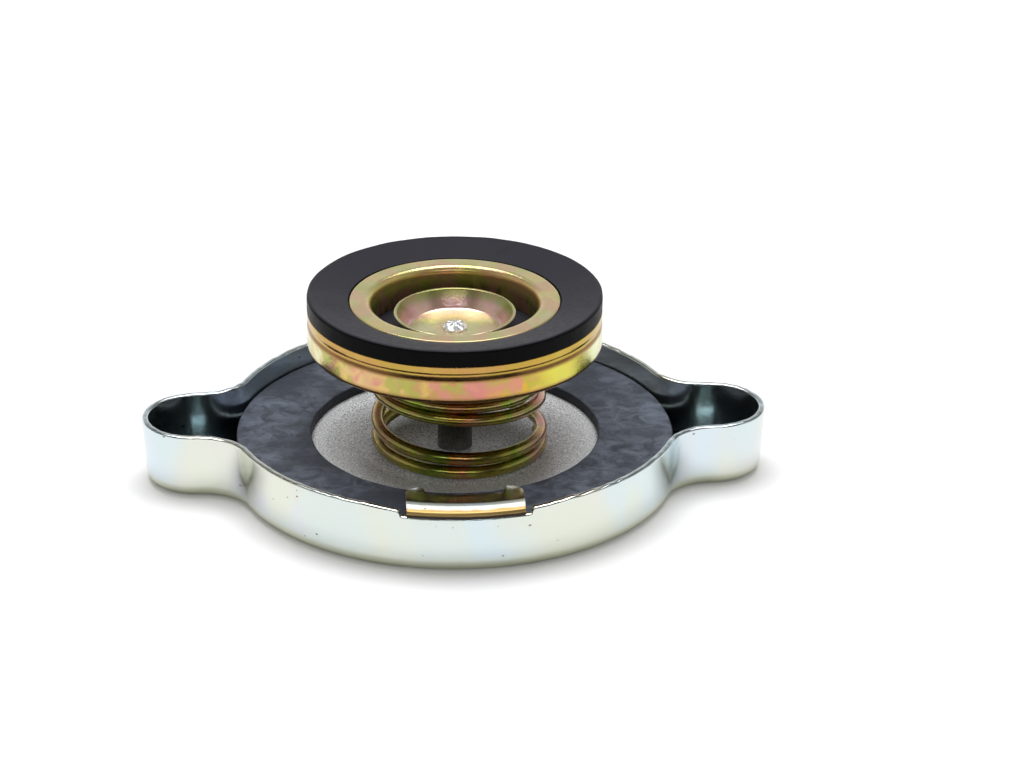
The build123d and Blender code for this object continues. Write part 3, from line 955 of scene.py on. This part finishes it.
# the ferrule's stops darken it down the tube as painted shade and brighten it near the lip as a painted
# highlight
ferrulePaintedLightLook = {
    "stops": ((0.0, (0.05, 0.04, 0.01)), (0.42, (0.14, 0.12, 0.02)), (0.64, (0.42, 0.40, 0.07)),
              (0.78, (0.52, 0.37, 0.10)), (0.9, (0.66, 0.50, 0.16)), (1.0, (0.53, 0.48, 0.25))),
    "metallic": 0.6, "keep": 0.6, "rays": 2.5, "rayScale": 60.0,
}
dishLook = {
    "stops": ((0.0, (0.62, 0.60, 0.36)), (0.70, (0.64, 0.61, 0.37)), (0.76, (0.82, 0.54, 0.52)),
              (0.84, (0.72, 0.46, 0.46)), (0.89, (0.38, 0.38, 0.18)), (0.94, (0.28, 0.32, 0.10)),
              (0.98, (0.68, 0.64, 0.40)), (1.0, (0.68, 0.64, 0.40))),
    "metallic": 0.7, "keep": 0.7,
}
springLook = {
    "stops": ((0.0, (0.44, 0.24, 0.15)), (0.22, (0.28, 0.36, 0.05)), (0.42, (0.24, 0.30, 0.05)),
              (0.5, (0.46, 0.22, 0.05)), (0.62, (0.36, 0.30, 0.06)), (0.8, (0.26, 0.36, 0.05)),
              (1.0, (0.52, 0.30, 0.22))),
    "metallic": 1.0, "keep": 0.6, "wanderScale": 260.0, "wanderReach": 12.0,
}


def makeYellowZinc(name, look, value, extra=None):
    shared = yellowTints
    material, tree, shader, place = newMaterial(name)
    parts = splitPlace(tree, place)
    around = addGroup(tree, aroundGroup, {}, {"Vector": place})
    share = value(tree, place, parts, around.outputs)
    base = rampNode(tree, share, look["stops"])
    tints = addGroup(tree, tintGroup, {
        "Scale": shared["scale"], "Tint A": (*shared["pink"], 1), "Tint B": (*shared["green"], 1),
        "Tint C": (*shared["straw"], 1), "Amount": shared["amount"]}, {"Vector": place})
    tree.links.new(base, tints.inputs["Base"])
    keep = look["keep"]
    if "calmKeep" in look:
        keep = rangeNode(tree, share, look["calmFrom"], look["calmTo"], keep, look["calmKeep"])
    color = mixColors(tree, keep, tints.outputs[0], base)
    if extra:
        color = extra(tree, place, parts, color)
    shader.inputs["Metallic"].default_value = look["metallic"]
    rays = None
    if "rays" in look:
        fine = noiseNode(tree, around.outputs["Around"], look["rayScale"], detail=2.0, roughness=0.6)
        rays = mathNode(tree, "MULTIPLY", fine, look["rays"])
    finishSurface(tree, shader, place, color, shared["roughness"], grains["yellow"], rays)
    return material


# how far along its colour stops a point lies, from 0 to 1: across a piece, up it or outwards
def acrossPiece(tree, place, parts, node, look):
    edge = radiusOf(node) * mm
    wander = wanderNode(tree, place, look["wanderScale"], look["wanderReach"])
    return rangeLinear(tree, mathNode(tree, "ADD", parts["X"], wander), -edge, edge)


def acrossCup(tree, place, parts, around):
    return acrossPiece(tree, place, parts, "valve_cup", cupLook)


def acrossSpring(tree, place, parts, around):
    return acrossPiece(tree, place, parts, "pressure_spring", springLook)


def upFerrule(tree, place, parts, around):
    return rangeLinear(tree, parts["Z"], lowOf("seal_ferrule") * mm, topOf("seal_ferrule") * mm)


def outDish(tree, place, parts, around):
    return rangeLinear(tree, around["Radius"], 0.0, radiusOf("vacuum_disc") * mm)


# a golden band under the rubber, and brown painted shade at the groove below it and at the floor's bend
def cupBandAndShade(tree, place, parts, color):
    look = cupLook
    start, soft = look["bandFrom"] * mm, look["bandSoft"] * mm
    band = rangeNode(tree, parts["Z"], start - soft, start + soft, 0.0, look["bandCover"])
    color = mixColors(tree, band, color, look["band"])
    # painted shade: brown in the groove below the band
    groove = rangeNode(tree, parts["Z"], look["grooveShadeFrom"] * mm, look["grooveShadeTo"] * mm)
    groove = mathNode(tree, "MULTIPLY", groove, mathNode(tree, "SUBTRACT", 1.0, band))
    color = mixColors(tree, groove, color, look["paintedShadeBrown"])
    # painted shade: brown round the floor's bend under the cup
    under = rangeNode(tree, parts["Z"], look["under"] * mm, look["underTo"] * mm, 1.0, 0.0)
    return mixColors(tree, under, color, look["paintedShadeBrown"])


# rubber: dusty and lighter where it faces up, partly dust and partly painted top light, with rubbed patches
# that show on up-facing faces only
rubberLooks = {
    "gasket": {"base": (0.024, 0.028, 0.038), "rubbed": (0.12, 0.138, 0.178), "dustAndTopLight": (0.035, 0.041, 0.055),
               "cover": 0.5, "scale": 75.0, "roughness": 0.5, "bump": 0.2, "specular": 0.2},
    "seal": {"base": (0.003, 0.003, 0.0032), "rubbed": (0.016, 0.016, 0.018), "dustAndTopLight": (0.029, 0.029, 0.036),
             "cover": 0.3, "scale": 55.0, "roughness": 0.36, "bump": 0.06, "specular": 0.05},
}
dustAndLightFrom, dustAndLightFull = 0.6, 0.97  # how far a face turns up before dust and painted top light lie on it


def makeRubber(name, look):
    material, tree, shader, place = newMaterial(name)
    scuffs = addGroup(tree, scuffGroup, {"Scale": look["scale"], "Cover": look["cover"]}, {"Vector": place})
    normal = tree.nodes.new("ShaderNodeNewGeometry").outputs["Normal"]
    # dust and painted top light: faces that turn up get lighter
    upward = rangeNode(tree, splitPlace(tree, normal)["Z"], dustAndLightFrom, dustAndLightFull)
    dustyAndLit = mixColors(tree, upward, look["base"], look["dustAndTopLight"])
    rubbed = mixColors(tree, upward, look["base"], look["rubbed"])
    color = mixColors(tree, scuffs.outputs[0], dustyAndLit, rubbed)
    shader.inputs["Specular IOR Level"].default_value = look["specular"]
    finishSurface(tree, shader, place, color, look["roughness"], {**grains["rubber"], "bump": look["bump"]})
    return material


# steel: galvanised disc, dark post and silver pin, each with bright flecks
steelLooks = {
    "disc": {"base": (0.42, 0.44, 0.46), "spark": (0.98, 0.99, 1.0), "roughness": 0.45, "metallic": 0.3,
             "fleckScale": 4600.0, "scale": 2600.0, "bump": 0.6},
    "post": {"base": (0.13, 0.13, 0.12), "spark": (0.20, 0.20, 0.18), "roughness": 0.35, "metallic": 0.8,
             "fleckScale": 3500.0, "scale": 900.0, "bump": 0.2},
    "pin": {"base": (0.50, 0.53, 0.56), "spark": (0.80, 0.82, 0.83), "roughness": 0.3, "metallic": 0.6,
            "fleckScale": 2400.0, "scale": 1200.0, "bump": 0.2},
}


def makeSteel(name, look):
    material, tree, shader, place = newMaterial(name)
    flecks = noiseNode(tree, place, look["fleckScale"], detail=2.0, roughness=0.6)
    color = mixColors(tree, rangeNode(tree, flecks, low=0.38, high=0.6), look["base"], look["spark"])
    shader.inputs["Metallic"].default_value = look["metallic"]
    finishSurface(tree, shader, place, color, look["roughness"],
                  {**grains["steel"], "scale": look["scale"], "bump": look["bump"]})
    return material


materials = {
    "shell": makeBrightZinc(),
    "shadedInside": makeInsideZinc(),
    "fold": makeFoldZinc(),
    "cup": makeYellowZinc("yellowZincCup", cupLook, acrossCup, extra=cupBandAndShade),
    "ferrule": makeYellowZinc("yellowZincRolled", ferrulePaintedLightLook, upFerrule),
    "dish": makeYellowZinc("yellowZincDish", dishLook, outDish),
    "spring": makeYellowZinc("springWire", springLook, acrossSpring),
    "gasket": makeRubber("gasketRubber", rubberLooks["gasket"]),
    "seal": makeRubber("sealRubber", rubberLooks["seal"]),
    "disc": makeSteel("galvanisedSteel", steelLooks["disc"]),
    "post": makeSteel("postSteel", steelLooks["post"]),
    "pin": makeSteel("pinSteel", steelLooks["pin"]),
}
print("materials made")


# gives a piece its finishes and its place in the model
def dress(piece, finishes, body, node):
    for finish in finishes:
        piece.data.materials.append(materials[finish])
    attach(piece, body)
    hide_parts(node)
    return piece


# every solid has its finish; those in the first two lines show as they are, the others are made again
solidFinishes = {
    "spring_disc": "disc", "post": "post", "seal_support": "ferrule", "guide_plate": "dish",
    "vacuum_seat": "seal", "vacuum_retainer": "pin",
    "shell": "shell", "neck_gasket": "gasket", "pressure_spring": "spring", "valve_cup": "cup",
    "valve_seal": "seal", "seal_ferrule": "ferrule", "vacuum_disc": "dish", "vacuum_pin": "pin",
    "vacuum_spring": "spring",
}
for node, finish in solidFinishes.items():
    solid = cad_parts[node]
    solid.data.materials.clear()
    solid.data.materials.append(materials[finish])

dress(makeShell(), ("shell", "shadedInside", "fold"), "cap", "shell")
print("shell made")
dress(makeGasket(), ("gasket",), "cap", "neck_gasket")
dress(makeCup(), ("cup",), "pressure_valve", "valve_cup")
dress(makeSeal(), ("seal",), "pressure_valve", "valve_seal")
dress(makeFerrule(), ("ferrule",), "pressure_valve", "seal_ferrule")
dress(makeDish(), ("dish",), "vacuum_valve", "vacuum_disc")
dress(makePin(), ("pin",), "vacuum_valve", "vacuum_pin")
print("valve pieces made")

# the springs, each with a mesh of its own
mainSpring = dress(makePressureSpring(), ("spring",), "pressure_coil", "pressure_spring")
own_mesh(mainSpring)
smallSpring = dress(makeVacuumSpring(), ("spring",), "pressure_valve", "vacuum_spring")
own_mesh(smallSpring)
print("springs made")


# camera, fitted to the circles in the photograph
cameraSetup = {
    "tilt": 24.70, "roll": 0.40, "turn": 3.86, "distance": 482.8, "focal": 3359.0,
    "aimHeight": 12.0, "imageX": 454.87, "imageY": 394.93, "width": 1024, "height": 770,
    "sensor": 36, "clipStart": 0.01,
}


def addCamera():
    setup = cameraSetup
    tilt = math.radians(setup["tilt"])
    roll = math.radians(setup["roll"])
    ahead = Vector((0, math.cos(tilt), -math.sin(tilt)))
    side = Vector((1, 0, 0))
    up = side.cross(ahead)
    side, up = (side * math.cos(roll) + up * math.sin(roll)), (up * math.cos(roll) - side * math.sin(roll))
    scale = setup["distance"] / setup["focal"]
    place = Vector((0, 0, setup["aimHeight"])) - ahead * setup["distance"]
    place -= side * ((setup["imageX"] - setup["width"] / 2) * scale)
    place += up * ((setup["imageY"] - setup["height"] / 2) * scale)
    turn = Matrix.Rotation(-math.radians(setup["turn"]), 3, "Z")
    axes = [turn @ side, turn @ up, turn @ -ahead]
    camera = bpy.data.objects.new("camera", bpy.data.cameras.new("camera"))
    camera.data.sensor_width = setup["sensor"]
    camera.data.lens = setup["focal"] * setup["sensor"] / setup["width"]
    camera.data.clip_start = setup["clipStart"]
    camera.matrix_world = Matrix.Translation(turn @ place * mm) @ Matrix(axes).transposed().to_4x4()
    bpy.context.scene.collection.objects.link(camera)
    bpy.context.scene.camera = camera


def addLamp(name, place, size, power):
    light = bpy.data.lights.new(name, "AREA")
    light.shape = "RECTANGLE"
    light.size, light.size_y = size
    light.energy = power
    lamp = bpy.data.objects.new(name, light)
    lamp.location = place
    lamp.rotation_euler = (Vector((0, 0, 0)) - Vector(place)).to_track_quat("-Z", "Y").to_euler()
    bpy.context.scene.collection.objects.link(lamp)


# white floor, a pale backdrop behind and a dark room in front, as reflections see them; in metres
studio = {
    "floorSize": 3.0, "floorDrop": 0.00002, "floorGrey": 0.82, "floorGlow": 0.08, "glowFrom": 0.12,
    "glowFull": 0.5, "worldLight": 0.32, "behindFrom": 0.35, "behindFull": 0.85, "backdropLow": 1.0,
    "backdropHigh": 0.10, "heightFrom": 0.05, "heightFull": 0.75, "room": 0.035, "sides": 0.45,
    "sidesFrom": 0.6, "sidesFull": 0.85, "lampPlace": (0.0, 0.16, 0.75), "lampSize": (0.7, 0.55),
    "lampPower": 6.8, "stripPlace": (-0.03, -0.50, 0.33), "stripSize": (0.5, 0.03), "stripPower": 0.4,
}


def addFloor():
    bm = bmesh.new()
    half = studio["floorSize"]
    corners = [bm.verts.new((x * half, y * half, 0)) for x, y in ((-1, -1), (1, -1), (1, 1), (-1, 1))]
    bm.faces.new(corners)
    floor = finishMesh("floor", bm)
    floor.location.z = -studio["floorDrop"]
    material = bpy.data.materials.new("floorPaper")
    material.use_nodes = True
    tree = material.node_tree
    tree.nodes.clear()
    output = tree.nodes.new("ShaderNodeOutputMaterial")
    paper = tree.nodes.new("ShaderNodeBsdfDiffuse")
    paper.inputs["Color"].default_value = (studio["floorGrey"],) * 3 + (1,)
    glow = tree.nodes.new("ShaderNodeEmission")
    path = tree.nodes.new("ShaderNodeLightPath")
    coords = tree.nodes.new("ShaderNodeTexCoord")
    distance = tree.nodes.new("ShaderNodeVectorMath")
    distance.operation = "LENGTH"
    tree.links.new(coords.outputs["Object"], distance.inputs[0])
    whiter = rangeNode(tree, distance.outputs["Value"], studio["glowFrom"], studio["glowFull"],
                       studio["floorGlow"], 1.0)
    strength = mathNode(tree, "MULTIPLY", path.outputs["Is Camera Ray"], whiter)
    tree.links.new(strength, glow.inputs["Strength"])
    both = tree.nodes.new("ShaderNodeAddShader")
    tree.links.new(paper.outputs[0], both.inputs[0])
    tree.links.new(glow.outputs[0], both.inputs[1])
    tree.links.new(both.outputs[0], output.inputs["Surface"])
    floor.data.materials.append(material)


def addWorld():
    setup = studio
    world = bpy.data.worlds.new("studio")
    bpy.context.scene.world = world
    world.use_nodes = True
    tree = world.node_tree
    tree.nodes.clear()
    output = tree.nodes.new("ShaderNodeOutputWorld")
    sky = tree.nodes.new("ShaderNodeBackground")
    path = tree.nodes.new("ShaderNodeLightPath")
    coords = tree.nodes.new("ShaderNodeTexCoord")
    split = splitPlace(tree, coords.outputs["Generated"])
    behind = rangeNode(tree, split["Y"], setup["behindFrom"], setup["behindFull"])
    height = rangeNode(tree, split["Z"], setup["heightFrom"], setup["heightFull"], setup["backdropLow"],
                       setup["backdropHigh"])
    aside = rangeNode(tree, mathNode(tree, "ABSOLUTE", split["X"]), setup["sidesFrom"], setup["sidesFull"],
                      setup["room"], setup["sides"])
    mirrored = mathNode(tree, "MAXIMUM", mathNode(tree, "MULTIPLY", behind, height), aside)
    grey = tree.nodes.new("ShaderNodeCombineColor")
    for socket in grey.inputs[:3]:
        tree.links.new(mirrored, socket)
    lit = mixColors(tree, path.outputs["Is Glossy Ray"], (setup["worldLight"],) * 3, grey.outputs[0])
    shown = mixColors(tree, path.outputs["Is Camera Ray"], lit, (1, 1, 1))
    tree.links.new(shown, sky.inputs["Color"])
    tree.links.new(sky.outputs[0], output.inputs["Surface"])


addCamera()
addFloor()
addWorld()
addLamp("topSoftbox", studio["lampPlace"], studio["lampSize"], studio["lampPower"])
addLamp("frontStrip", studio["stripPlace"], studio["stripSize"], studio["stripPower"])
bpy.context.scene.view_settings.view_transform = "Standard"
print("camera and studio placed")
